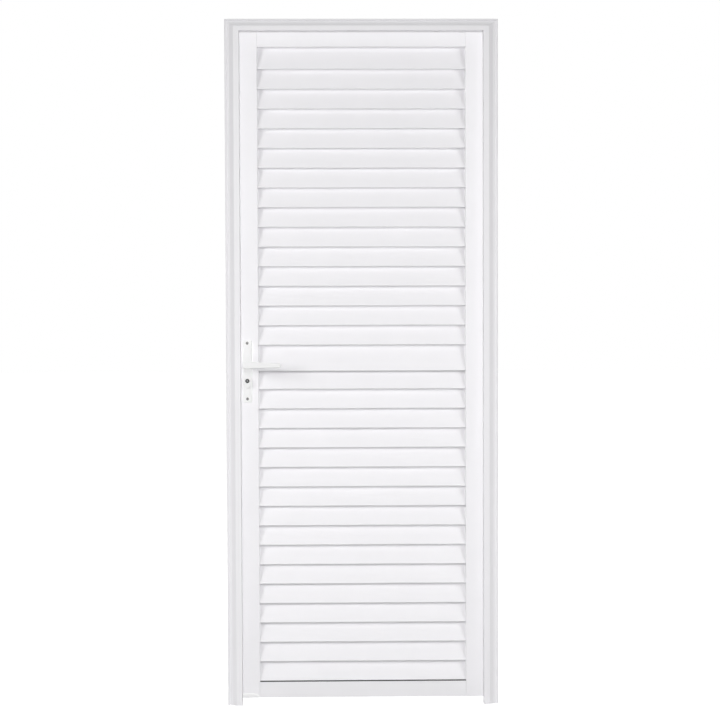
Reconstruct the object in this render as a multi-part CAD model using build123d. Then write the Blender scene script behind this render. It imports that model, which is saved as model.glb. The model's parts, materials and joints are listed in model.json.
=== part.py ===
from build123d import *
import os

# Aluminium louvred door, 2.10 x 0.80 m, hung in its own frame with a trim on the outer side.
# Millimetres. +Z is up, the outer side faces -Y and +X points to the hinge side.
# The origin is at the foot of the hinge jamb, on the face that goes against the wall,
# at the middle of the frame's depth.

# Frame tubes
frame_width = 800.0
frame_height = 2100.0
frame_depth = 54.0
frame_wall = 1.5
jamb_web = 13.5
head_web = 9.0

# Clearances round the leaf
side_gap = 6.2
head_gap = 5.0
floor_gap = 17.0
seal_gap = 5.0

# Stop profile in front of the leaf, with its seal
stop_depth = 12.0
stop_wall = 1.5
stop_lap = 5.3
seal_free = 0.3
seal_bulb = 6.0
seal_stem = 2.4
seal_root = 4.4
seal_slot = 3.0
seal_from_lip = 4.0

# Trim moulding on the outer wall face
side_trim_reach = 20.0
head_trim_reach = 18.0
trim_wall = 1.6
trim_height = 11.5
bead_width = 6.6
bead_height = 4.6
bead_shoulder = 2.4
groove_width = 2.4
groove_floor = 1.7
groove_lip = 2.8
band_width = 4.6
band_edge = 3.4
band_height = 4.2
slope_end = 27.5
trim_edge_radius = 1.5

# Leaf tubes
leaf_depth = 30.0
leaf_wall = 1.5
stile_width = 58.5
rail_height = 48.5
edge_radius = 1.2

# Louvres: lip at the lower front edge, top set back and tucked behind the lip above
louvre_wall = 1.3
louvre_front_clearance = 0.5
louvre_setback = 18.0
louvre_rise = 67.5
louvre_flange = 6.0
louvre_nose = 1.4
louvre_nose_depth = 1.6
louvre_return_depth = 7.5
louvre_return_rise = 3.2
louvre_nose_radius = 0.9
louvre_seat = 12.0
louvre_slot_clearance = 0.4
louvre_top_clearance = 0.9
upper_count = 15
lower_count = 16
bottom_lip_gap = 3.0

# Lock rail between the two banks, shaped like a taller louvre
lock_rail_lip_height = 1019.3
lock_rail_height = 87.0
lock_rail_skirt = 12.1
lock_rail_lap = 6.3
lock_rail_inset = 1.0
lock_rail_wall = 1.5

# End caps of the stiles
cap_thickness = 1.5
cap_plug = 8.0
cap_clearance = 0.3

# Lever set, one plate with a lever on each side
lever_height = 1057.0
backset = 24.8
lever_to_cylinder = 50.5
plate_width = 29.0
plate_height = 192.0
plate_thickness = 8.0
plate_above_lever = 74.7
plate_corner = 5.0
plate_edge = 2.0
plate_bore_clearance = 0.3
neck_radius = 8.0
neck_reach = 50.0
neck_from_leaf = 0.5
grip_reach = 105.0
grip_thickness = 10.0
grip_root_radius = 11.0
grip_tip_height = 13.0
grip_tip_radius = 4.0
grip_tip_drop = 2.0
grip_edge = 3.0
spindle_side = 8.0
spindle_depth = 30.0
follower_radius = 9.0
follower_clearance = 0.1

# Lock body and cylinder
case_length = 44.0
case_thickness = 15.0
case_height = 158.0
case_above_lever = 48.0
face_width = 20.0
face_height = 190.0
face_above_lever = 64.0
face_clearance = 0.2
bolt_width = 12.0
bolt_length = 14.0
bolt_clearance = 0.3
latch_height = 18.0
dead_bolt_height = 26.0
dead_bolt_drop = 32.0
cylinder_radius = 9.2
cylinder_drop = 14.0
cylinder_proud = 2.0
cylinder_clearance = 0.2
plug_radius = 6.5
plug_depth = 12.0
plug_clearance = 0.1
key_width = 2.2
key_height = 8.0
key_depth = 9.0

# Strike plate let into the lock jamb
strike_width = 22.0
strike_height = 150.0
strike_lap = 3.0
strike_lap_thickness = 1.0
strike_clearance = 0.2
strike_hole_margin = 3.0

# Hinges behind the leaf, on the back of the hinge jamb
hinge_from_leaf_end = 233.0
hinge_length = 90.0
hinge_flap = 2.5
hinge_flap_reach = 24.0
knuckle_radius = 6.0
knuckle_standoff = 0.5
knuckle_count = 3
knuckle_gap = 0.4
pin_radius = 3.0
pin_clearance = 0.05
pin_head_radius = 4.5
pin_head_height = 2.0
pin_tip = 2.0

# Wall fixings through both jambs
fixing_radius = 3.25
fixing_from_end = 150.0
fixing_count = 4
fixing_offset = 8.0

# Places worked out from the sizes above
frame_front = -frame_depth / 2
frame_back = frame_depth / 2
frame_left = -frame_width
stop_back = frame_front + stop_depth
leaf_front = stop_back + seal_gap
leaf_back = leaf_front + leaf_depth
leaf_middle = (leaf_front + leaf_back) / 2
leaf_left = frame_left + jamb_web + side_gap
leaf_right = -jamb_web - side_gap
leaf_bottom = floor_gap
leaf_top = frame_height - head_web - head_gap
bay_left = leaf_left + stile_width
bay_right = leaf_right - stile_width
bottom_rail_top = leaf_bottom + rail_height
top_rail_bottom = leaf_top - rail_height
lip_plane = leaf_front + leaf_wall + louvre_front_clearance
side_lip = jamb_web + side_gap + stop_lap
head_lip = head_web + head_gap + stop_lap
side_trim_width = side_trim_reach + side_lip
head_trim_width = head_trim_reach + head_lip
lock_lip = leaf_bottom + lock_rail_lip_height
lock_body_bottom = lock_lip + lock_rail_skirt
lock_body_top = lock_lip + lock_rail_height
lever_x = leaf_left + backset
cylinder_z = lever_height - lever_to_cylinder
bolts = ((lever_height, latch_height), (cylinder_z - dead_bolt_drop, dead_bolt_height))
strike_z = (bolts[0][0] + bolts[1][0]) / 2
head_bottom = frame_height - head_web
lock_web_x = frame_left + jamb_web
hinge_x = (leaf_right - jamb_web) / 2
hinge_y = frame_back + knuckle_standoff + knuckle_radius
hinge_heights = {
    "bottom": leaf_bottom + hinge_from_leaf_end,
    "middle": (leaf_bottom + leaf_top) / 2,
    "top": leaf_top - hinge_from_leaf_end,
}
fixing_step = (frame_height - 2 * fixing_from_end) / (fixing_count - 1)
fixing_heights = [fixing_from_end + i * fixing_step for i in range(fixing_count)]
overcut = 1.0


def block(x0, x1, y0, y1, z0, z1):
    """A box between two corners."""
    size = Box(x1 - x0, y1 - y0, z1 - z0)
    return Pos((x0 + x1) / 2, (y0 + y1) / 2, (z0 + z1) / 2) * size


def tube_along_z(x0, x1, y0, y1, z0, z1, wall):
    """A rectangular tube with open ends, standing up."""
    inner = block(x0 + wall, x1 - wall, y0 + wall, y1 - wall, z0 - overcut, z1 + overcut)
    return block(x0, x1, y0, y1, z0, z1) - inner


def tube_along_x(x0, x1, y0, y1, z0, z1, wall):
    """A rectangular tube with open ends, lying across the door."""
    inner = block(x0 - overcut, x1 + overcut, y0 + wall, y1 - wall, z0 + wall, z1 - wall)
    return block(x0, x1, y0, y1, z0, z1) - inner


def rod_y(x, z, radius, y0, y1):
    """A round bar along Y."""
    bar = Rot(90, 0, 0) * Cylinder(radius, y1 - y0)
    return Pos(x, (y0 + y1) / 2, z) * bar


def rod_z(x, y, radius, z0, z1):
    """A round bar along Z."""
    return Pos(x, y, (z0 + z1) / 2) * Cylinder(radius, z1 - z0)


def rod_x(y, z, radius, x0, x1):
    """A round bar along X."""
    bar = Rot(0, 90, 0) * Cylinder(radius, x1 - x0)
    return Pos((x0 + x1) / 2, y, z) * bar


def prism_x(points, x0, x1):
    """A solid with this outline in Y and Z, from x0 to x1."""
    face = make_face(Polyline(*[(x0, y, z) for y, z in points], close=True))
    return extrude(face, amount=x1 - x0, dir=(1, 0, 0))


def prism_y(points, y0, y1):
    """A solid with this outline in X and Z, from y0 to y1."""
    face = make_face(Polyline(*[(x, y0, z) for x, z in points], close=True))
    return extrude(face, amount=y1 - y0, dir=(0, 1, 0))


def band(points, half):
    """The outline of a strip of even thickness along a bent line, mitred at its bends."""
    lines = []
    for a, b in zip(points, points[1:]):
        along = Vector(b[0] - a[0], b[1] - a[1]).normalized()
        lines.append((along, Vector(-along.Y, along.X)))
    one_side = []
    other_side = []
    for i, (y, z) in enumerate(points):
        before = lines[max(i - 1, 0)]
        after = lines[min(i, len(lines) - 1)]
        middle = (before[1] + after[1]).normalized()
        reach = half / middle.dot(after[1])
        end = Vector(0, 0)
        if i == 0:
            end = after[0] * -(half - louvre_wall / 2)
        if i == len(points) - 1:
            end = before[0] * (half - louvre_wall / 2)
        here = Vector(y, z) + end
        one_side.append(here + middle * reach)
        other_side.append(here - middle * reach)
    return [(p.X, p.Y) for p in one_side + other_side[::-1]]


def save(name, *solids):
    """Write one sub-part."""
    shape = solids[0] if len(solids) == 1 else Compound(children=list(solids))
    export_step(shape, f"parts/{name}.step")


# Frame

def jamb(x0, x1):
    """One jamb, a full-height tube with its wall fixings drilled through."""
    tube = tube_along_z(x0, x1, frame_front, frame_back, 0, frame_height, frame_wall)
    for height in fixing_heights:
        tube -= rod_x(fixing_offset, height, fixing_radius, x0 - overcut, x1 + overcut)
    return tube


def stop_section(web, lip):
    """The stop's outline: u from the frame's wall face, v from the middle of the frame's depth."""
    width = lip - web
    outer = Rectangle(width, stop_depth)
    inner = Rectangle(width - 2 * stop_wall, stop_depth - 2 * stop_wall)
    slot = Pos(width / 2 - seal_from_lip, stop_depth / 2) * Rectangle(seal_slot, 2 * stop_wall + overcut)
    return Pos(web + width / 2, frame_front + stop_depth / 2) * (outer - inner - slot)


def seal_section(lip):
    """The seal's outline: a round-backed bulb on a stem that clips into the stop."""
    height = seal_gap - seal_free
    radius = seal_bulb / 2
    bulb = Pos(0, height - radius) * Circle(radius)
    foot = Pos(0, (height - radius) / 2) * Rectangle(seal_bulb, height - radius)
    stem = Pos(0, -stop_wall / 2) * Rectangle(seal_stem, stop_wall)
    root = Pos(0, -stop_wall - stop_wall / 2) * Rectangle(seal_root, stop_wall)
    above_slot = Pos(0, height / 2) * Rectangle(seal_bulb, height)
    return Pos(lip - seal_from_lip, stop_back) * ((bulb & above_slot) + foot + stem + root)


def upright(section, wall_x, direction):
    """Run a section up a jamb, from the floor to the underside of the head."""
    face = section if direction > 0 else mirror(section, about=Plane.YZ)
    return extrude(Pos(wall_x, 0, 0) * face, amount=head_bottom, dir=(0, 0, 1))


def crossways(section):
    """Run a section under the head, between the side stops."""
    start = frame_left + side_lip
    plane = Plane(origin=(start, 0, frame_height), x_dir=(0, 0, -1), z_dir=(1, 0, 0))
    return extrude(plane * section, amount=frame_width - 2 * side_lip, dir=(1, 0, 0))


def trim_section(width):
    """The moulding's outline: u from its outer edge, v forward from the wall."""
    scale = width / side_trim_width
    bead = bead_width * scale
    groove = (bead_width + groove_width) * scale
    band_end = (bead_width + groove_width + band_width) * scale
    slope = slope_end * scale
    flat_end = width - trim_edge_radius
    bead_line = ThreePointArc((0, bead_shoulder), (bead / 2, bead_height), (bead, groove_lip))
    groove_line = Polyline((bead, groove_lip), (bead, groove_floor), (groove, groove_floor), (groove, band_edge))
    band_line = ThreePointArc((groove, band_edge), ((groove + band_end) / 2, band_height), (band_end, band_height))
    slope_line = Polyline((band_end, band_height), (slope, trim_height), (flat_end, trim_height))
    nose = CenterArc((flat_end, trim_height - trim_edge_radius), trim_edge_radius, 0, 90)
    back = Polyline(
        (width, trim_height - trim_edge_radius),
        (width, 0),
        (width - trim_wall, 0),
        (width - trim_wall, trim_height - trim_wall),
        (slope, trim_height - trim_wall),
        (band_end, band_height - trim_wall),
        (groove + trim_wall, band_height - trim_wall),
        (groove + trim_wall, 0),
        (0, 0),
        (0, bead_shoulder),
    )
    return make_face([bead_line, groove_line, band_line, slope_line, nose, back])


def side_trim(outer_x, direction):
    """A jamb trim, standing from the floor to its mitre at the top."""
    plane = Plane(origin=(outer_x, frame_front, 0), x_dir=(direction, 0, 0), z_dir=(0, 0, -direction))
    face = plane * trim_section(side_trim_width)
    length = frame_height + head_trim_reach
    body = extrude(face, amount=length, dir=(0, 0, 1))
    inner_x = outer_x + direction * side_trim_width
    beyond_x = inner_x + direction * overcut
    slope = head_trim_width / side_trim_width
    off = prism_y(
        [
            (outer_x - direction * overcut, length + overcut * slope),
            (beyond_x, length - head_trim_width - overcut * slope),
            (beyond_x, length + 2 * overcut),
            (outer_x - direction * overcut, length + 2 * overcut),
        ],
        frame_front - trim_height - overcut,
        frame_front + overcut,
    )
    return body - off


def head_trim():
    """The trim over the head, mitred at both ends."""
    top = frame_height + head_trim_reach
    left = frame_left - side_trim_reach
    right = side_trim_reach
    plane = Plane(origin=(left, frame_front, top), x_dir=(0, 0, -1), z_dir=(-1, 0, 0))
    face = plane * trim_section(head_trim_width)
    body = extrude(face, amount=right - left, dir=(1, 0, 0))
    keep = prism_y(
        [
            (left, top),
            (right, top),
            (right - side_trim_width, top - head_trim_width),
            (left + side_trim_width, top - head_trim_width),
        ],
        frame_front - trim_height - overcut,
        frame_front + overcut,
    )
    return body & keep


def strike_plate():
    """The strike, flush in the lock jamb, with a lap behind the wall."""
    x1 = frame_left + jamb_web
    x0 = x1 - frame_wall
    mid_z = strike_z
    half_y = strike_width / 2 - strike_clearance
    half_z = strike_height / 2 - strike_clearance
    plate = block(x0, x1, leaf_middle - half_y, leaf_middle + half_y, mid_z - half_z, mid_z + half_z)
    lap_y = strike_width / 2 + strike_lap
    lap_z = strike_height / 2 + strike_lap
    lap = block(
        x0 - strike_lap_thickness, x0,
        leaf_middle - lap_y, leaf_middle + lap_y,
        mid_z - lap_z, mid_z + lap_z,
    )
    body = plate + lap
    for bolt_z, bolt_rise in bolts:
        rise = bolt_rise / 2 + strike_hole_margin
        width = bolt_width / 2 + strike_hole_margin / 2
        body -= block(
            x0 - strike_lap_thickness - overcut, x1 + overcut,
            leaf_middle - width, leaf_middle + width,
            bolt_z - rise, bolt_z + rise,
        )
    return body


# Leaf

def louvre_line(lip_z):
    """The bent line down the middle of a louvre's wall, from its drip return to its top flange."""
    half = louvre_wall / 2
    front = lip_plane + half
    back = lip_plane + louvre_setback
    return [
        (front + louvre_return_depth, lip_z + half + louvre_return_rise),
        (front + louvre_nose_depth, lip_z + half),
        (front, lip_z + half + louvre_nose),
        (back, lip_z + louvre_rise - louvre_flange),
        (back, lip_z + louvre_rise),
    ]


def louvre(lip_z):
    """One louvre, with a rounded nose at its lip."""
    outline = band(louvre_line(lip_z), louvre_wall / 2)
    x0 = bay_left - louvre_seat
    face = make_face(Polyline(*[(x0, y, z) for y, z in outline], close=True))
    corners = face.vertices()
    nose = [corners.sort_by(Axis.Y)[0], corners.sort_by(Axis.Z)[0]]
    face = fillet(nose, louvre_nose_radius)
    return extrude(face, amount=bay_right - bay_left + 2 * louvre_seat, dir=(1, 0, 0))


def louvre_slots(lips, x0, x1):
    """The slots for one bank's louvres, through a stile's inner wall."""
    half = louvre_wall / 2 + louvre_slot_clearance
    return [prism_x(band(louvre_line(z), half), x0, x1) for z in lips]


def bank(first_lip, last_lip, count):
    """Even lip heights from the first to the last."""
    step = (last_lip - first_lip) / (count - 1)
    return [first_lip + i * step for i in range(count)]


lower_first = bottom_rail_top + bottom_lip_gap
lower_last = lock_body_bottom - louvre_top_clearance - louvre_rise
upper_first = lock_body_top - lock_rail_lap
upper_last = top_rail_bottom - louvre_top_clearance - louvre_rise
lower_lips = bank(lower_first, lower_last, lower_count)
upper_lips = bank(upper_first, upper_last, upper_count)


def stile(x0, x1, inner_wall_x):
    """A stile tube between its caps, with every louvre slot cut in its inner wall."""
    low = leaf_bottom + cap_thickness
    high = leaf_top - cap_thickness
    tube = block(x0, x1, leaf_front, leaf_back, low, high)
    tube = fillet(tube.edges().filter_by(Axis.Z), edge_radius)
    hollow = block(
        x0 + leaf_wall, x1 - leaf_wall,
        leaf_front + leaf_wall, leaf_back - leaf_wall,
        low - overcut, high + overcut,
    )
    slots = louvre_slots(lower_lips + upper_lips, inner_wall_x - leaf_wall, inner_wall_x + leaf_wall)
    return tube - hollow - slots


def stile_cap(x0, x1, outer_z, direction):
    """A cap that closes one end of a stile, with a plug inside the tube."""
    plate_z = outer_z + direction * cap_thickness
    plug_z = plate_z + direction * cap_plug
    plate = block(x0, x1, leaf_front, leaf_back, min(outer_z, plate_z), max(outer_z, plate_z))
    plate = fillet(plate.edges().filter_by(Axis.Z), edge_radius)
    inset = leaf_wall + cap_clearance
    plug = block(
        x0 + inset, x1 - inset,
        leaf_front + inset, leaf_back - inset,
        min(plate_z, plug_z), max(plate_z, plug_z),
    )
    core = block(
        x0 + 2 * inset, x1 - 2 * inset,
        leaf_front + 2 * inset, leaf_back - 2 * inset,
        min(plate_z, plug_z) - overcut if direction < 0 else plate_z,
        plate_z if direction < 0 else plug_z + overcut,
    )
    return plate + (plug - core)


def rail(z0, z1):
    """The top or bottom rail, butted between the stiles."""
    return tube_along_x(bay_left, bay_right, leaf_front, leaf_back, z0, z1, leaf_wall)


def lock_rail():
    """The lock rail: a slanted face with a drip lip in front of a hollow body."""
    wall = lock_rail_wall
    back = leaf_back - lock_rail_inset
    top_front = lip_plane + louvre_setback
    slant = (top_front - lip_plane) / (lock_body_top - lock_lip - louvre_nose)
    outer = [
        (lip_plane, lock_lip + louvre_nose),
        (lip_plane + louvre_nose_depth, lock_lip),
        (lip_plane + louvre_return_depth, lock_lip + louvre_return_rise),
        (lip_plane + louvre_return_depth, lock_lip + louvre_return_rise + wall),
        (lip_plane + wall + slant * lock_rail_skirt, lock_body_bottom),
        (back, lock_body_bottom),
        (back, lock_body_top),
        (top_front, lock_body_top),
    ]
    face_rise = lock_body_bottom + wall - lock_lip - louvre_nose
    inner = [
        (lip_plane + slant * face_rise + wall, lock_body_bottom + wall),
        (back - wall, lock_body_bottom + wall),
        (back - wall, lock_body_top - wall),
        (top_front - slant * wall + wall, lock_body_top - wall),
    ]
    body = prism_x(outer, bay_left, bay_right)
    return body - prism_x(inner, bay_left - overcut, bay_right + overcut)


# Lock and lever set

def cylinder_bar(clearance, y0, y1):
    """The cylinder's oval outline, round above and below, run through from y0 to y1."""
    plane = Plane(origin=(lever_x, y0, cylinder_z - cylinder_drop / 2), x_dir=(0, 0, 1), z_dir=(0, -1, 0))
    oval = plane * SlotCenterToCenter(cylinder_drop, 2 * (cylinder_radius + clearance))
    return extrude(oval, amount=y1 - y0, dir=(0, 1, 0))


def handle_plate():
    """The outer plate of the lever set, on the leaf's front face."""
    bottom = lever_height + plate_above_lever - plate_height
    middle_z = bottom + plate_height / 2
    plane = Plane(origin=(lever_x, leaf_front, middle_z), x_dir=(1, 0, 0), z_dir=(0, -1, 0))
    body = extrude(plane * RectangleRounded(plate_width, plate_height, plate_corner), amount=plate_thickness)
    front = body.faces().sort_by(Axis.Y)[0]
    body = fillet(front.edges(), plate_edge)
    front_y = leaf_front - plate_thickness
    bore = neck_radius + plate_bore_clearance
    body -= rod_y(lever_x, lever_height, bore, front_y - overcut, leaf_front + overcut)
    body -= cylinder_bar(cylinder_clearance, front_y - overcut, leaf_front + overcut)
    return body


def lever():
    """The outer lever: a round neck that carries a flat grip, wide at its root and tapered to its tip."""
    start = leaf_front - neck_from_leaf
    grip_back = leaf_front - neck_reach
    neck = rod_y(lever_x, lever_height, neck_radius, grip_back - grip_thickness / 2, start)
    plane = Plane(origin=(lever_x, grip_back, lever_height), x_dir=(1, 0, 0), z_dir=(0, -1, 0))
    tip_x = grip_reach - grip_tip_radius
    tip_z = grip_tip_height / 2 - grip_tip_radius
    rounds = [
        Circle(grip_root_radius),
        Pos(tip_x, tip_z - grip_tip_drop) * Circle(grip_tip_radius),
        Pos(tip_x, -tip_z - grip_tip_drop) * Circle(grip_tip_radius),
    ]
    outline = make_hull([edge for shape in rounds for edge in shape.edges()])
    grip = extrude(plane * outline, amount=grip_thickness)
    rims = grip.edges().group_by(Axis.Y)
    grip = fillet(rims[0] + rims[-1], grip_edge)
    socket = block(
        lever_x - spindle_side / 2, lever_x + spindle_side / 2,
        leaf_front - spindle_depth, start + overcut,
        lever_height - spindle_side / 2, lever_height + spindle_side / 2,
    )
    return neck + grip - socket


def to_inside(shape):
    """The same piece on the leaf's other face."""
    return mirror(shape, about=Plane(origin=(0, leaf_middle, 0), z_dir=(0, 1, 0)))


def spindle():
    """The square bar between the levers, with the round follower that turns in the lock."""
    reach = leaf_middle - leaf_front + spindle_depth
    bar = block(
        lever_x - spindle_side / 2, lever_x + spindle_side / 2,
        leaf_middle - reach, leaf_middle + reach,
        lever_height - spindle_side / 2, lever_height + spindle_side / 2,
    )
    half = case_thickness / 2
    return bar + rod_y(lever_x, lever_height, follower_radius, leaf_middle - half, leaf_middle + half)


def lock_case():
    """The lock body inside the stile."""
    x0 = leaf_left + leaf_wall
    top = lever_height + case_above_lever
    half = case_thickness / 2
    case = block(x0, x0 + case_length, leaf_middle - half, leaf_middle + half, top - case_height, top)
    case -= rod_y(
        lever_x, lever_height, follower_radius + follower_clearance,
        leaf_middle - half - overcut, leaf_middle + half + overcut,
    )
    case -= cylinder_bar(cylinder_clearance, leaf_middle - half - overcut, leaf_middle + half + overcut)
    return case - bolt_blocks(bolt_clearance)


def lock_face():
    """The lock's face plate, flush in the stile's edge, open for the two bolts."""
    half_y = face_width / 2 - face_clearance
    top = lever_height + face_above_lever - face_clearance
    bottom = lever_height + face_above_lever - face_height + face_clearance
    plate = block(leaf_left, leaf_left + leaf_wall, leaf_middle - half_y, leaf_middle + half_y, bottom, top)
    return plate - bolt_blocks(bolt_clearance)


def bolt_blocks(clearance):
    """The latch and the dead bolt, drawn in until they are flush with the face plate."""
    half_y = bolt_width / 2 + clearance
    return [
        block(
            leaf_left - clearance, leaf_left + bolt_length + clearance,
            leaf_middle - half_y, leaf_middle + half_y,
            z - rise / 2 - clearance, z + rise / 2 + clearance,
        )
        for z, rise in bolts
    ]


def lock_stile():
    """The lock stile, cut for the lock's face, the follower and the cylinder."""
    body = stile(leaf_left, bay_left, bay_left)
    face_top = lever_height + face_above_lever
    body -= block(
        leaf_left - overcut, leaf_left + leaf_wall + overcut / 2,
        leaf_middle - face_width / 2, leaf_middle + face_width / 2,
        face_top - face_height, face_top,
    )
    bore = follower_radius + plate_bore_clearance
    body -= rod_y(lever_x, lever_height, bore, leaf_front - overcut, leaf_back + overcut)
    body -= cylinder_bar(2 * cylinder_clearance, leaf_front - overcut, leaf_back + overcut)
    return body


def lock_cylinder():
    """The cylinder through the leaf, bored at both ends for its plugs."""
    y0 = leaf_front - plate_thickness - cylinder_proud
    y1 = leaf_back + plate_thickness + cylinder_proud
    body = cylinder_bar(0, y0, y1)
    bore = plug_radius + plug_clearance
    body -= rod_y(lever_x, cylinder_z, bore, y0 - overcut, y0 + plug_depth)
    body -= rod_y(lever_x, cylinder_z, bore, y1 - plug_depth, y1 + overcut)
    return body


def cylinder_plug():
    """The outer key plug with its keyway."""
    y0 = leaf_front - plate_thickness - cylinder_proud
    plug = rod_y(lever_x, cylinder_z, plug_radius, y0, y0 + plug_depth)
    keyway = block(
        lever_x - key_width / 2, lever_x + key_width / 2,
        y0 - overcut, y0 + key_depth,
        cylinder_z - key_height / 2, cylinder_z + key_height / 2,
    )
    return plug - keyway


# Hinges

def knuckle_spans(middle_z):
    """The stretch of each knuckle, from the bottom up."""
    step = hinge_length / knuckle_count
    bottom = middle_z - hinge_length / 2
    return [
        (bottom + i * step + knuckle_gap / 2, bottom + (i + 1) * step - knuckle_gap / 2)
        for i in range(knuckle_count)
    ]


def hinge_half(middle_z, flap_x0, flap_x1, first, pin_fit):
    """Half a hinge: a flap in the gap beside the leaf and every second knuckle."""
    bottom = middle_z - hinge_length / 2
    top = middle_z + hinge_length / 2
    flap_front = leaf_back - hinge_flap_reach
    body = block(flap_x0, flap_x1, flap_front, frame_back, bottom, top)
    spans = knuckle_spans(middle_z)
    for i in range(first, knuckle_count, 2):
        low, high = spans[i]
        body += rod_z(hinge_x, hinge_y, knuckle_radius, low, high)
        body += block(flap_x0, flap_x1, frame_back - overcut, hinge_y, low, high)
    bore = pin_radius + pin_fit
    return body - rod_z(hinge_x, hinge_y, bore, bottom - overcut, top + overcut)


def hinge_pin(middle_z):
    """The pin, with a flat head on top and a plain tip below."""
    bottom = middle_z - hinge_length / 2
    top = middle_z + hinge_length / 2
    pin = rod_z(hinge_x, hinge_y, pin_radius, bottom - pin_tip, top)
    return pin + rod_z(hinge_x, hinge_y, pin_head_radius, top, top + pin_head_height)


os.makedirs("parts", exist_ok=True)

lock_jamb = jamb(frame_left, lock_web_x)
lock_jamb -= block(
    lock_web_x - frame_wall - overcut / 2, lock_web_x + overcut,
    leaf_middle - strike_width / 2, leaf_middle + strike_width / 2,
    strike_z - strike_height / 2, strike_z + strike_height / 2,
)
save("lock_jamb", lock_jamb)
save("hinge_jamb", jamb(-jamb_web, 0))
head = tube_along_x(lock_web_x, -jamb_web, frame_front, frame_back, head_bottom, frame_height, frame_wall)
save("head_jamb", head)
save("strike_plate", strike_plate())

save("lock_stop", upright(stop_section(jamb_web, side_lip), frame_left, 1))
save("hinge_stop", upright(stop_section(jamb_web, side_lip), 0, -1))
save("head_stop", crossways(stop_section(head_web, head_lip)))
save("lock_seal", upright(seal_section(side_lip), frame_left, 1))
save("hinge_seal", upright(seal_section(side_lip), 0, -1))
save("head_seal", crossways(seal_section(head_lip)))

save("lock_trim", side_trim(frame_left - side_trim_reach, 1))
save("hinge_trim", side_trim(side_trim_reach, -1))
save("head_trim", head_trim())

save("lock_stile", lock_stile())
save("hinge_stile", stile(bay_right, leaf_right, bay_right))
save(
    "stile_caps",
    stile_cap(leaf_left, bay_left, leaf_bottom, 1),
    stile_cap(bay_right, leaf_right, leaf_bottom, 1),
    stile_cap(leaf_left, bay_left, leaf_top, -1),
    stile_cap(bay_right, leaf_right, leaf_top, -1),
)
save("top_rail", rail(top_rail_bottom, leaf_top))
save("bottom_rail", rail(leaf_bottom, bottom_rail_top))
save("lock_rail", lock_rail())
save("lower_louvres", *[louvre(z) for z in lower_lips])
save("upper_louvres", *[louvre(z) for z in upper_lips])

outer_plate = handle_plate()
save("outside_plate", outer_plate)
save("inside_plate", to_inside(outer_plate))
save("lock_case", lock_case())
save("lock_face", lock_face())
save("lock_bolts", *bolt_blocks(0))
save("lock_cylinder", lock_cylinder())
outer_plug = cylinder_plug()
save("cylinder_plugs", outer_plug, to_inside(outer_plug))

outer_lever = lever()
save("outside_lever", outer_lever)
save("inside_lever", to_inside(outer_lever))
save("lever_spindle", spindle())

frame_flap = (-jamb_web - hinge_flap, -jamb_web)
leaf_flap = (leaf_right, leaf_right + hinge_flap)
for name, height in hinge_heights.items():
    save(f"{name}_hinge_frame_half", hinge_half(height, *frame_flap, 0, 0))
    save(f"{name}_hinge_leaf_half", hinge_half(height, *leaf_flap, 1, pin_clearance))
    save(f"{name}_hinge_pin", hinge_pin(height))
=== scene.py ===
import json
import math

import bmesh
import bpy
from mathutils import Matrix, Vector
from mathutils.geometry import tessellate_polygon

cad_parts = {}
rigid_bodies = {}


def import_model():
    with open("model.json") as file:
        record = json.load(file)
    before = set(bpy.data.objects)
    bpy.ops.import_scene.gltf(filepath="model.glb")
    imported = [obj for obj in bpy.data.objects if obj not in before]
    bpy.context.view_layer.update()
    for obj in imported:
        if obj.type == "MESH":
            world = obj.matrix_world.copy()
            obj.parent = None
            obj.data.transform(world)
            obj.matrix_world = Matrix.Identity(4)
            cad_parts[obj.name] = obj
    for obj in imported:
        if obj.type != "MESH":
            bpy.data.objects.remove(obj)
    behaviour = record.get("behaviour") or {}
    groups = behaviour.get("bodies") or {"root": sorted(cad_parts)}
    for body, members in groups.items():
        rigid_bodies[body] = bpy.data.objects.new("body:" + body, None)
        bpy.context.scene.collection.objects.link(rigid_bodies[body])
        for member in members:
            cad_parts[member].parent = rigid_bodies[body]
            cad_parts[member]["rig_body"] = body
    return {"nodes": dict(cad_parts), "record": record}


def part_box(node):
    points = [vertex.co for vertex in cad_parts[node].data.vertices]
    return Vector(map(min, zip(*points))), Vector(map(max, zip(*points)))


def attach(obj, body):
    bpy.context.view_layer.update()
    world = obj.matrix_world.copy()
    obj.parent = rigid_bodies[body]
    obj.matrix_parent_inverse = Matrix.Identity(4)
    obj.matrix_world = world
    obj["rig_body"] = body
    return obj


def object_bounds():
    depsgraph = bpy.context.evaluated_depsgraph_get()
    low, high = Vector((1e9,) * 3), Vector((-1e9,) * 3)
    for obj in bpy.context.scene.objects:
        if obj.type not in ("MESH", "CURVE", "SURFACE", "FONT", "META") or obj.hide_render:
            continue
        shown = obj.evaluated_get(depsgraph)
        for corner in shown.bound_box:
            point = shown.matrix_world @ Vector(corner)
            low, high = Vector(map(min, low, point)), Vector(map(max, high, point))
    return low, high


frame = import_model()
cad_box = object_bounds()
nodes = frame["nodes"]

MM = 0.001
QUARTER_TURN = math.pi / 2
WHITE = (1, 1, 1, 1)

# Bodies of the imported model
FRAME = "frame"
LEAF = "leaf"
LEVER = "lever"

# Camera: where it stands, how it is turned, and its focal length in pixels of a 720 pixel picture
PICTURE = 720.0
SENSOR = 36.0
CAMERA_PLACE = Vector((-0.4577, -4.0, 1.1695))
CAMERA_YAW = 0.0128
CAMERA_PITCH = 0.0249
CAMERA_ROLL = -0.0034
FOCAL_PIXELS = 1285.77
NEAREST_SEEN = 0.1
FARTHEST_SEEN = 100


# Materials

# Noises: features a metre, and octaves of detail
COAT_MOTTLE = (9.0, 4.0)
COAT_GLOSS = (30.0, 3.0)
COAT_PEEL = (900.0, 2.0)
STEEL_STREAK = (60.0, 5.0)
PLASTIC_MOTTLE = (40.0, 3.0)
PLASTIC_SKIN = (1800.0, 2.0)

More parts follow.
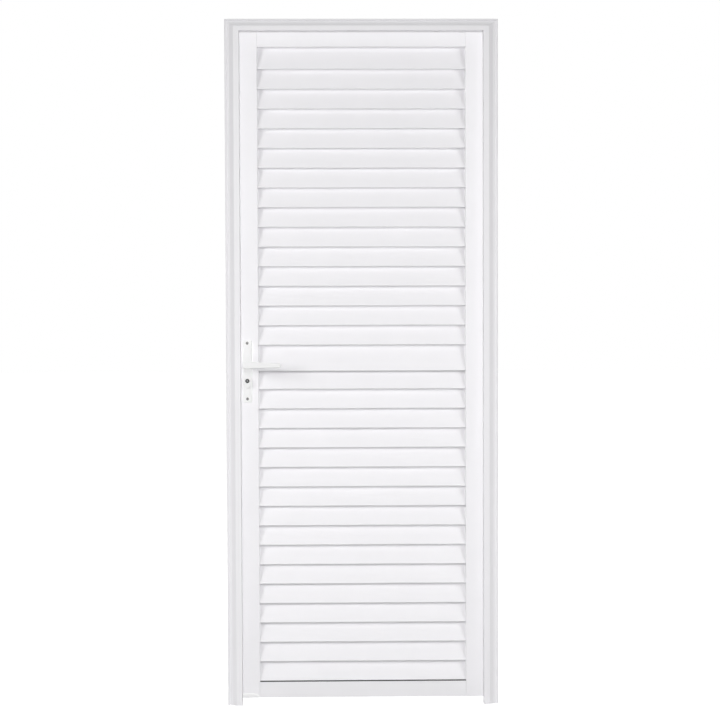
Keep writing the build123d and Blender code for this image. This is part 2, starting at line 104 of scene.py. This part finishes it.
# Colours: where their two ends lie on the noise, how dark the darker end is, and their tints
NOISE_LOW = 0.3
NOISE_HIGH = 0.7
COAT_DARKER = 0.985
STEEL_DARKER = 0.8
PLASTIC_DARKER = 0.93
STEEL_WARMTH = 0.01
PAINT_TINT = (1.004, 0.995, 1.018)

# How far the roughness wanders below and above its value
COAT_SMOOTHER = 0.04
COAT_ROUGHER = 0.05
STEEL_SMOOTHER = 0.08
STEEL_ROUGHER = 0.1

# Relief: strength and depth
PEEL_DEPTH = 0.2 * MM
STREAK_STRENGTH = 0.15
STREAK_DEPTH = 0.1 * MM
SKIN_STRENGTH = 0.25
SKIN_DEPTH = 0.1 * MM
EDGE_ROUNDING = 0.6 * MM
EDGE_SAMPLES = 4

# How many times finer a streak is along X, Y and Z
NO_STREAK = (1, 1, 1)
FINER_ALONG_X = (12, 1, 1)
FINER_ALONG_Z = (1, 1, 12)


class Nodes:
    """Short calls for the nodes of one material."""

    def __init__(self, name):
        self.material = bpy.data.materials.new(name)
        self.material.use_nodes = True
        self.tree = self.material.node_tree
        self.shader = self.tree.nodes["Principled BSDF"]

    def add(self, kind, **values):
        """A new node with these inputs set. An underscore in a name stands for a space."""
        node = self.tree.nodes.new(kind)
        for key, value in values.items():
            node.inputs[key.replace("_", " ")].default_value = value
        return node

    def link(self, source, output, target, socket):
        self.tree.links.new(source.outputs[output], target.inputs[socket])

    def noise(self, scale, detail, stretch=NO_STREAK):
        """Noise in the object's own metres, finer along some axes where stretch says so."""
        place = self.add("ShaderNodeTexCoord")
        turn = self.add("ShaderNodeMapping", Scale=stretch)
        self.link(place, "Object", turn, "Vector")
        texture = self.add("ShaderNodeTexNoise", Scale=scale, Detail=detail)
        self.link(turn, "Vector", texture, "Vector")
        return texture

    def colour(self, texture, darker, lighter):
        """The surface's colour, which wanders between two tones with the noise."""
        node = self.add("ShaderNodeValToRGB")
        ends = node.color_ramp.elements
        ends[0].position = NOISE_LOW
        ends[0].color = (*darker, 1)
        ends[1].position = NOISE_HIGH
        ends[1].color = (*lighter, 1)
        self.link(texture, "Fac", node, "Fac")
        self.link(node, "Color", self.shader, "Base Color")

    def roughness(self, texture, low, high):
        """The surface's roughness, which wanders between two values with the noise."""
        node = self.add("ShaderNodeMapRange", To_Min=low, To_Max=high)
        self.link(texture, "Fac", node, "Value")
        self.link(node, "Result", self.shader, "Roughness")

    def relief(self, texture, strength, depth, edges=None):
        """Fine relief that follows the noise, over softened edges where they are given."""
        node = self.add("ShaderNodeBump", Strength=strength, Distance=depth)
        self.link(texture, "Fac", node, "Height")
        if edges:
            self.link(edges, "Normal", node, "Normal")
        self.link(node, "Normal", self.shader, "Normal")

    def set(self, **values):
        for key, value in values.items():
            self.shader.inputs[key.replace("_", " ")].default_value = value


def grey(value, warmth=0.0):
    """A near-white or grey, a little warmer or cooler."""
    return (value * (1 + warmth), value, value * (1 - warmth))


def paint_white(value):
    """The door's white, which leans very slightly to violet."""
    return tuple(value * share for share in PAINT_TINT)


def coated(name, colour_of, tone, roughness, peel):
    """Powder coat or enamel on metal: a faint mottle, orange peel and softened edges."""
    n = Nodes(name)
    n.colour(n.noise(*COAT_MOTTLE), colour_of(tone * COAT_DARKER), colour_of(tone))
    n.roughness(n.noise(*COAT_GLOSS), roughness - COAT_SMOOTHER, roughness + COAT_ROUGHER)
    edges = n.add("ShaderNodeBevel", Radius=EDGE_ROUNDING)
    edges.samples = EDGE_SAMPLES
    n.relief(n.noise(*COAT_PEEL), peel, PEEL_DEPTH, edges)
    n.set(IOR=1.5, Specular_IOR_Level=0.5)
    return n.material


def plated(name, tone, roughness, stretch):
    """Plated or bright steel with fine streaks."""
    n = Nodes(name)
    streak = n.noise(*STEEL_STREAK, stretch)
    n.colour(streak, grey(tone * STEEL_DARKER, STEEL_WARMTH), grey(tone, STEEL_WARMTH))
    n.roughness(streak, roughness - STEEL_SMOOTHER, roughness + STEEL_ROUGHER)
    n.relief(streak, STREAK_STRENGTH, STREAK_DEPTH)
    n.set(Metallic=1.0)
    return n.material


def moulded(name, tone, roughness):
    """Moulded plastic or rubber with a fine grained skin."""
    n = Nodes(name)
    n.colour(n.noise(*PLASTIC_MOTTLE), grey(tone * PLASTIC_DARKER), grey(tone))
    n.relief(n.noise(*PLASTIC_SKIN), SKIN_STRENGTH, SKIN_DEPTH)
    n.set(Roughness=roughness)
    return n.material


materials = {
    "frame_paint": coated("frame_coat", paint_white, tone=0.88, roughness=0.5, peel=0.12),
    "leaf_paint": coated("leaf_coat", paint_white, tone=0.88, roughness=0.5, peel=0.12),
    "handle_paint": coated("handle_enamel", grey, tone=0.87, roughness=0.3, peel=0.04),
    "hinge_paint": coated("hinge_coat", paint_white, tone=0.87, roughness=0.42, peel=0.12),
    "cylinder_metal": coated("cylinder_enamel", grey, tone=0.84, roughness=0.3, peel=0.04),
    "seal_rubber": moulded("seal_rubber", tone=0.42, roughness=0.6),
    "cap_plastic": moulded("cap_plastic", tone=0.86, roughness=0.42),
    # The plugs' near-black is painted shade: it stands in for the shade of the recessed ring and key slot
    # round the bright cores.
    "plug_dark": moulded("plug_black_and_painted_shade", tone=0.02, roughness=0.35),
    "lock_steel": plated("plated_steel", tone=0.62, roughness=0.32, stretch=FINER_ALONG_Z),
    "pin_steel": plated("pin_steel", tone=0.66, roughness=0.28, stretch=FINER_ALONG_Z),
}
screw_steel = plated("screw_steel", tone=0.34, roughness=0.38, stretch=NO_STREAK)
# Near-black, painted shade: it goes on the walls and floor of the screws' cross recesses in place of their
# shade.
recess_painted_shade = moulded("recess_painted_shadow", tone=0.03, roughness=0.7)
# Near-black rubber for the slit's gasket. Partly the strip's own colour, partly painted shade: it makes the
# slit dark as its shade would.
gasket_rubber_and_slit_shade = moulded("gasket_rubber_and_slit_shade", tone=0.03, roughness=0.6)
# A lighter plastic for the shoe's chamfer only: a painted highlight along its top edge.
shoe_painted_highlight = moulded("shoe_painted_highlight", tone=0.97, roughness=0.3)
core_steel = plated("key_core_steel", tone=0.45, roughness=0.3, stretch=FINER_ALONG_X)
for part in frame["record"]["subparts"]:
    mesh = nodes[part["node"]].data
    mesh.materials.clear()
    mesh.materials.append(materials[part["material_slot"]])


# Small pieces: screw heads, the slit's gasket, the stile's shoe and the cores of the key plugs

SMOOTH_BELOW = math.radians(35)
SINK = 0.2 * MM

# Screws: the recess and the flat of the dome are shares of the head's radius
SCREW_SIDES = 24
DOME_STEPS = 4
DOME_FLAT = 0.68
CROSS_REACH = 0.56
CROSS_HALF_WIDTH = 0.15
CROSS_FLOOR_REACH = 0.7 * CROSS_REACH
CROSS_FLOOR_HALF_WIDTH = 0.1
FIRST_SCREW_TURN = 0.4
NEXT_SCREW_TURN = 1.1
PLATE_SCREW_RADIUS = 4.8 * MM
PLATE_SCREW_PROUD = 0.9 * MM
PLATE_SCREW_FROM_TOP = 8.1 * MM
PLATE_SCREW_FROM_FOOT = 11.1 * MM
FACE_SCREW_RADIUS = 3.2 * MM
FACE_SCREW_PROUD = 0.4 * MM
FACE_SCREW_FROM_END = 9.0 * MM
HINGE_SCREW_RADIUS = 3.4 * MM
HINGE_SCREW_PROUD = 0.35 * MM
HINGE_SCREW_STEP = 30.0 * MM
HINGE_SCREW_STAGGER = 3.0 * MM
HINGE_FLAP = 2.5 * MM
HINGE_FLAP_REACH = 24.0 * MM

# Gasket: its shoulder is a share of the slit's height, its rounding and its crown are shares of its width
GASKET_WIDTH = 5.0 * MM
GASKET_FROM_LIP = 1.2 * MM
GASKET_SQUEEZE = 0.3 * MM
GASKET_SHOULDER = 0.8
GASKET_ROUNDING = 0.12
GASKET_CROWN = 0.6
GASKET_CROWN_RISE = 0.25

# Shoe: its wall is a share of how far it stands proud, and its side is chamfered by a share of the top's
SHOE_RISE = 14.0 * MM
SHOE_PROUD = 2.2 * MM
SHOE_WALL = 0.3
SHOE_CHAMFER = 3.2 * MM
SHOE_SIDE_CHAMFER = 0.3
SHOE_FLAT = 36.0 * MM
SHOE_ARC_STEPS = 10

# Key cores: the wall is a share of how far a core stands proud, and the crown a share of its radius
CORE_RADIUS = 2.4 * MM
CORE_PROUD = 0.25 * MM
CORE_WALL = 0.6
CORE_CROWN = 0.86
CORE_SLOT = 1.3 * MM
CORE_STEPS = 12


def make_piece(made, name, finishes, body):
    """Turn a bmesh into a piece with its finishes, riding on a body."""
    mesh = bpy.data.meshes.new(name)
    bmesh.ops.recalc_face_normals(made, faces=made.faces)
    made.to_mesh(mesh)
    made.free()
    for finish in finishes:
        mesh.materials.append(finish)
    mesh.shade_smooth()
    mesh.set_sharp_from_angle(angle=SMOOTH_BELOW)
    piece = bpy.data.objects.new(name, mesh)
    bpy.context.scene.collection.objects.link(piece)
    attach(piece, body)


def seat(place, out, turn):
    """A frame at a place, with its Z axis pointing out of the surface."""
    facing = Vector(out).to_track_quat("Z", "Y").to_matrix().to_4x4()
    return Matrix.Translation(place) @ facing @ Matrix.Rotation(turn, 4, "Z")


def set_down(made, here, points):
    """The corners of an outline, placed in a frame."""
    return [made.verts.new(here @ Vector(point)) for point in points]


def ring(made, here, radius, height):
    """A ring of points round the Z axis of a frame."""
    angles = [math.tau * i / SCREW_SIDES for i in range(SCREW_SIDES)]
    return set_down(made, here, [(radius * math.cos(a), radius * math.sin(a), height) for a in angles])


def join_rings(made, low, high, finish=0):
    """Faces between two rings of as many points."""
    for i in range(len(low)):
        j = (i + 1) % len(low)
        made.faces.new((low[i], low[j], high[j], high[i])).material_index = finish


def fill(made, loops, finish=0):
    """Close one outline, or the band between an outline and the hole in it."""
    verts = [v for loop in loops for v in loop]
    for corners in tessellate_polygon([[v.co for v in loop] for loop in loops]):
        made.faces.new([verts[i] for i in corners]).material_index = finish


def cross_points(reach, half, height):
    """The twelve corners of a cross at one height, in order."""
    points = []
    for quarter in range(4):
        turn = Matrix.Rotation(quarter * QUARTER_TURN, 2)
        for corner in ((reach, -half), (reach, half), (half, half)):
            points.append((*(turn @ Vector(corner)), height))
    return points


def screw_head(made, place, out, radius, proud, turn):
    """A low domed head with a cross recess, its rim sunk a little into the surface. The recess's walls and
    floor take a near-black finish, which paints the shade in the recess.
    """
    here = seat(place, out, turn)
    flat = radius * DOME_FLAT
    low = ring(made, here, radius, -SINK)
    made.faces.new(low)
    for step in range(DOME_STEPS + 1):
        lean = step / DOME_STEPS * QUARTER_TURN
        high = ring(made, here, flat + (radius - flat) * math.cos(lean), proud * math.sin(lean))
        join_rings(made, low, high)
        low = high
    mouth_points = cross_points(radius * CROSS_REACH, radius * CROSS_HALF_WIDTH, proud)
    floor_points = cross_points(radius * CROSS_FLOOR_REACH, radius * CROSS_FLOOR_HALF_WIDTH, SINK)
    mouth = set_down(made, here, mouth_points)
    floor = set_down(made, here, floor_points)
    fill(made, [low, mouth])
    join_rings(made, mouth, floor, 1)
    fill(made, [floor], 1)


def screws(name, places, out, radius, proud, body):
    """One piece that holds a row of screw heads, each turned a little further than the last."""
    made = bmesh.new()
    for i, place in enumerate(places):
        screw_head(made, place, out, radius, proud, FIRST_SCREW_TURN + NEXT_SCREW_TURN * i)
    make_piece(made, name, [screw_steel, recess_painted_shade], body)


def plate_screws(node, out):
    """The two screws of a handle plate."""
    low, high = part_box(node)
    x = (low[0] + high[0]) / 2
    y = low[1] if out[1] < 0 else high[1]
    places = [(x, y, high[2] - PLATE_SCREW_FROM_TOP), (x, y, low[2] + PLATE_SCREW_FROM_FOOT)]
    screws(node + "_screws", places, out, PLATE_SCREW_RADIUS, PLATE_SCREW_PROUD, LEAF)


def face_screws(node, out, body):
    """The two screws of the lock's face or of the strike."""
    low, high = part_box(node)
    x = low[0] if out[0] < 0 else high[0]
    y = (low[1] + high[1]) / 2
    places = [(x, y, high[2] - FACE_SCREW_FROM_END), (x, y, low[2] + FACE_SCREW_FROM_END)]
    screws(node + "_screws", places, out, FACE_SCREW_RADIUS, FACE_SCREW_PROUD, body)


def hinge_screws(which):
    """Three screws in each flap of one hinge, on the faces that show when the door is open."""
    low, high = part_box(which + "_hinge_frame_half")
    middle = (low[2] + high[2]) / 2
    flap_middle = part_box("hinge_stile")[1][1] - HINGE_FLAP_REACH / 2
    rows = ((-1, -1), (0, 1), (1, -1))
    sides = (
        ("_hinge_frame_screws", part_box("hinge_jamb")[0][0] - HINGE_FLAP, (-1, 0, 0), FRAME),
        ("_hinge_leaf_screws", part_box("hinge_stile")[1][0] + HINGE_FLAP, (1, 0, 0), LEAF),
    )
    for name, x, out, body in sides:
        places = []
        for row, lean in rows:
            places.append((x, flap_middle + lean * HINGE_SCREW_STAGGER, middle + row * HINGE_SCREW_STEP))
        screws(which + name, places, out, HINGE_SCREW_RADIUS, HINGE_SCREW_PROUD, body)


def sweep_x(made, outline, x0, x1):
    """A closed bar along X with this outline in Y and Z."""
    ends = [[made.verts.new((x, y, z)) for y, z in outline] for x in (x0, x1)]
    join_rings(made, ends[0], ends[1])
    made.faces.new(ends[0])
    made.faces.new(ends[1])


def slit_gasket():
    """The black rubber that closes the slit between the bottom rail and the lowest louvre. Its near-black
    also paints the shade in the slit.
    """
    rail_low, rail_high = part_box("bottom_rail")
    louvre_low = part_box("lower_louvres")[0]
    front = louvre_low[1] + GASKET_FROM_LIP
    foot = rail_high[2]
    rise = louvre_low[2] - foot
    crown = rise + GASKET_SQUEEZE + GASKET_WIDTH * GASKET_CROWN_RISE
    outline = [
        (front, foot),
        (front, foot + rise * GASKET_SHOULDER),
        (front + GASKET_WIDTH * GASKET_ROUNDING, foot + rise),
        (front + GASKET_WIDTH * GASKET_CROWN, foot + crown),
        (front + GASKET_WIDTH, foot + rise),
        (front + GASKET_WIDTH, foot),
    ]
    made = bmesh.new()
    sweep_x(made, outline, rail_low[0], rail_high[0])
    make_piece(made, "slit_gasket", [gasket_rubber_and_slit_shade], LEAF)


def stile_shoe():
    """The plastic shoe on the foot of the lock stile: a low plate that rounds off towards the rail. Its
    chamfer is in a lighter tone than its face, a painted highlight along the top edge.
    """
    low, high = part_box("lock_stile")
    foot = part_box("stile_caps")[0][2]
    front = low[1]
    arc_run = high[0] - low[0] - SHOE_FLAT
    loops = []
    for inset, proud in ((0.0, 0.0), (0.0, SHOE_PROUD * SHOE_WALL), (SHOE_CHAMFER, SHOE_PROUD)):
        side = low[0] + inset * SHOE_SIDE_CHAMFER
        points = [(side, foot), (side, foot + SHOE_RISE - inset)]
        for step in range(SHOE_ARC_STEPS + 1):
            lean = step / SHOE_ARC_STEPS * QUARTER_TURN
            x = low[0] + SHOE_FLAT + (arc_run - inset) * math.sin(lean)
            z = foot + (SHOE_RISE - inset) * math.cos(lean)
            points.append((x, z))
        loops.append([(x, front - proud, z) for x, z in points])
    made = bmesh.new()
    rings = [[made.verts.new(point) for point in loop] for loop in loops]
    join_rings(made, rings[0], rings[1])
    join_rings(made, rings[1], rings[2], 1)
    fill(made, [rings[0]])
    fill(made, [rings[2]])
    make_piece(made, "stile_shoe", [materials["cap_plastic"], shoe_painted_highlight], LEAF)


def key_core(name, y, out):
    """The bright core of one key plug, in two halves beside the key slot. The plug's near-black round the
    core and in the slot paints the shade of the recessed ring and keyway.
    """
    low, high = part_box("cylinder_plugs")
    place = ((low[0] + high[0]) / 2, y, (low[2] + high[2]) / 2)
    beside_slot = CORE_SLOT / 2
    widest = math.acos(beside_slot / CORE_RADIUS)
    angles = [widest * (2 * i / CORE_STEPS - 1) for i in range(CORE_STEPS + 1)]
    levels = (
        (CORE_RADIUS, -SINK),
        (CORE_RADIUS, CORE_PROUD * CORE_WALL),
        (CORE_RADIUS * CORE_CROWN, CORE_PROUD),
    )
    made = bmesh.new()
    for side in (0.0, math.pi):
        here = seat(place, out, side)
        rims = []
        for radius, height in levels:
            points = [(max(radius * math.cos(a), beside_slot), radius * math.sin(a), height) for a in angles]
            rims.append(set_down(made, here, points))
        join_rings(made, rims[0], rims[1])
        join_rings(made, rims[1], rims[2])
        made.faces.new(rims[0])
        made.faces.new(rims[2])
    make_piece(made, name, [core_steel], LEAF)


plate_screws("outside_plate", (0, -1, 0))
plate_screws("inside_plate", (0, 1, 0))
face_screws("lock_face", (-1, 0, 0), LEAF)
face_screws("strike_plate", (1, 0, 0), FRAME)
for which in ("bottom", "middle", "top"):
    hinge_screws(which)
slit_gasket()
stile_shoe()
key_core("outside_key_core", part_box("cylinder_plugs")[0][1], (0, -1, 0))
key_core("inside_key_core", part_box("cylinder_plugs")[1][1], (0, 1, 0))


# Stage: a white floor, white surroundings and eight soft lights

FLOOR_HALF = 30.0
FLOOR_TONE = (0.8, 0.8, 0.8, 1)
FLOOR_GLOW = 0.9
WORLD_FILL = 0.18
WORLD_SEEN = 1.0


def seen_directly(tree):
    """1 for rays from the camera, in reflections and through glass, and 0 for all other light."""
    path = tree.nodes.new("ShaderNodeLightPath")
    seen = tree.nodes.new("ShaderNodeMath")
    seen.operation = "MAXIMUM"
    tree.links.new(path.outputs["Is Camera Ray"], seen.inputs[0])
    tree.links.new(path.outputs["Is Glossy Ray"], seen.inputs[1])
    either = tree.nodes.new("ShaderNodeMath")
    either.operation = "MAXIMUM"
    tree.links.new(seen.outputs[0], either.inputs[0])
    tree.links.new(path.outputs["Is Transmission Ray"], either.inputs[1])
    return either


def mix_by_ray(tree, other, seen, out):
    """Show one shader to rays that see the stage directly, and the other one to all other light."""
    mixed = tree.nodes.new("ShaderNodeMixShader")
    tree.links.new(seen_directly(tree).outputs[0], mixed.inputs[0])
    tree.links.new(other.outputs[0], mixed.inputs[1])
    tree.links.new(seen.outputs[0], mixed.inputs[2])
    tree.links.new(mixed.outputs[0], out.inputs["Surface"])


def floor_material():
    """A pale floor that takes shadows and glows for the camera, so that it comes out white."""
    material = bpy.data.materials.new("studio_floor")
    material.use_nodes = True
    tree = material.node_tree
    tree.nodes.clear()
    out = tree.nodes.new("ShaderNodeOutputMaterial")
    diffuse = tree.nodes.new("ShaderNodeBsdfDiffuse")
    diffuse.inputs["Color"].default_value = FLOOR_TONE
    glow = tree.nodes.new("ShaderNodeEmission")
    glow.inputs["Strength"].default_value = FLOOR_GLOW
    added = tree.nodes.new("ShaderNodeAddShader")
    tree.links.new(diffuse.outputs[0], added.inputs[0])
    tree.links.new(glow.outputs[0], added.inputs[1])
    mix_by_ray(tree, diffuse, added, out)
    return material


def make_floor():
    near, far = -FLOOR_HALF, FLOOR_HALF
    corners = [(near, near, 0), (far, near, 0), (far, far, 0), (near, far, 0)]
    mesh = bpy.data.meshes.new("studio_floor")
    mesh.from_pydata(corners, [], [(0, 1, 2, 3)])
    floor = bpy.data.objects.new("studio_floor", mesh)
    bpy.context.scene.collection.objects.link(floor)
    mesh.materials.append(floor_material())


def background(tree, strength):
    node = tree.nodes.new("ShaderNodeBackground")
    node.inputs["Color"].default_value = WHITE
    node.inputs["Strength"].default_value = strength
    return node


def make_world():
    """White surroundings that light the door only a little."""
    world = bpy.data.worlds.new("studio")
    bpy.context.scene.world = world
    world.use_nodes = True
    tree = world.node_tree
    tree.nodes.clear()
    out = tree.nodes.new("ShaderNodeOutputWorld")
    mix_by_ray(tree, background(tree, WORLD_FILL), background(tree, WORLD_SEEN), out)


def make_camera():
    yaw, pitch, roll = CAMERA_YAW, CAMERA_PITCH, CAMERA_ROLL
    ahead = Vector((
        math.sin(yaw) * math.cos(pitch),
        math.cos(yaw) * math.cos(pitch),
        -math.sin(pitch),
    ))
    level = Vector((math.cos(yaw), -math.sin(yaw), 0))
    up = level.cross(ahead)
    across = level * math.cos(roll) + up * math.sin(roll)
    rise = up * math.cos(roll) - level * math.sin(roll)
    data = bpy.data.cameras.new("camera")
    data.sensor_width = SENSOR
    data.lens = FOCAL_PIXELS / PICTURE * SENSOR
    data.clip_start = NEAREST_SEEN
    data.clip_end = FARTHEST_SEEN
    camera = bpy.data.objects.new("camera", data)
    bpy.context.scene.collection.objects.link(camera)
    turn = Matrix((across, rise, -ahead)).transposed()
    camera.matrix_world = Matrix.Translation(CAMERA_PLACE) @ turn.to_4x4()
    bpy.context.scene.camera = camera


def pieces_of(name, bodies, without=()):
    """All that rides on these bodies, as a collection that a light can keep to."""
    group = bpy.data.collections.new(name)
    for piece in bpy.data.objects:
        if piece.get("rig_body") in bodies and piece not in without:
            group.objects.link(piece)
    return group


def area_light(name, place, aim, size, power, spread=180, lit=None, shaded_by=None):
    """A soft rectangular light, placed and aimed in metres from the middle of the door's foot.

    The power is in watts and the spread in degrees: a smaller one sends more light straight ahead.
    """
    data = bpy.data.lights.new(name, "AREA")
    data.shape = "RECTANGLE"
    data.size, data.size_y = size
    data.spread = math.radians(spread)
    data.energy = power
    light = bpy.data.objects.new(name, data)
    bpy.context.scene.collection.objects.link(light)
    middle = Vector(((cad_box[0][0] + cad_box[1][0]) / 2, 0, 0))
    light.location = middle + Vector(place)
    light.rotation_euler = (Vector(aim) - Vector(place)).to_track_quat("-Z", "Y").to_euler()
    light.light_linking.receiver_collection = lit
    light.light_linking.blocker_collection = shaded_by


make_camera()
make_floor()
make_world()

# The wide side lights shade the ends of the louvres. They fall only on the leaf and the lever, and only
# these cast shadows in them, apart from the two plates, so neither the frame's deep reveal nor a plate
# throws a wide shadow on the leaf. The frame has a front light of its own.
plates = (nodes["outside_plate"], nodes["inside_plate"])
door = pieces_of("door_pieces", (LEAF, LEVER))
shading = pieces_of("shading_pieces", (LEAF, LEVER), plates)
surround = pieces_of("surround_pieces", (FRAME,))
front = {"place": (-0.3, -4.6, 2.45), "aim": (0, 0, -0.1), "size": (1.2, 1.6), "spread": 120}
side = {"aim": (0, 0, 0.8), "size": (1.6, 1.6), "power": 78, "lit": door, "shaded_by": shading}
behind = {"aim": (0, 0, 1.0), "size": (1.6, 1.6), "power": 65}
area_light("key_light", power=13, **front)
area_light("surround_light", power=55, lit=surround, **front)
area_light("left_light", place=(-3.1, -2.4, 1.9), **side)
area_light("right_light", place=(3.3, -2.3, 1.9), **side)
area_light("low_fill", place=(0, -2.6, 0.3), aim=(0, 0, 0.5), size=(2.4, 0.6), power=6)
area_light("back_light", place=(0, 4.5, 2.4), aim=(0, 0, 1.0), size=(3.0, 2.0), power=35)
area_light("left_back_light", place=(-3.8, 2.2, 1.7), **behind)
area_light("right_back_light", place=(3.8, 2.2, 1.7), **behind)
bpy.context.scene.view_settings.view_transform = "Standard"
